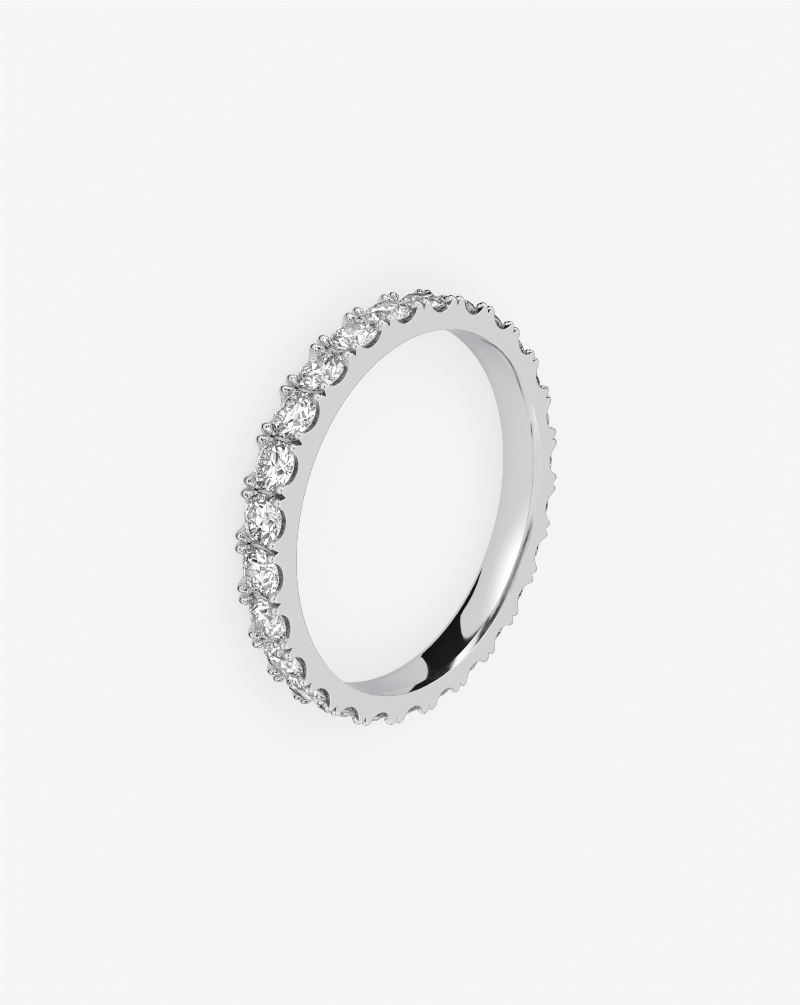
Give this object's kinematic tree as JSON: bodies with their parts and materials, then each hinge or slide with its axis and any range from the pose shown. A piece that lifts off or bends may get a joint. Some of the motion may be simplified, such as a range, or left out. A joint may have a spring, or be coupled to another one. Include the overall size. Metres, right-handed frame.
{
  "type": "diamond eternity band",
  "caption": "Full eternity ring: scalloped white metal band with split claws, set all round with equal round brilliants, lying on its side.",
  "frame": {"origin": "on the ring's axis, in the plane of the lower side face, on which the ring lies", "axes": "+Z along the ring's axis, up as the ring lies; +X through the middle of stone_01, from which the stones are counted anticlockwise seen from above"},
  "size_m": [0.02, 0.0202, 0.0023],
  "materials": {
    "white_metal": "polished",
    "diamond": "faceted and polished"
  },
  "bodies": {
    "root": {"band": "white_metal", "stone_01": "diamond", "stone_02": "diamond", "stone_03": "diamond", "stone_04": "diamond", "stone_05": "diamond", "stone_06": "diamond", "stone_07": "diamond", "stone_08": "diamond", "stone_09": "diamond", "stone_10": "diamond", "stone_11": "diamond", "stone_12": "diamond", "stone_13": "diamond", "stone_14": "diamond", "stone_15": "diamond", "stone_16": "diamond", "stone_17": "diamond", "stone_18": "diamond", "stone_19": "diamond", "stone_20": "diamond", "stone_21": "diamond", "stone_22": "diamond", "stone_23": "diamond", "stone_24": "diamond", "stone_25": "diamond", "stone_26": "diamond"}
  },
  "joints": []
}
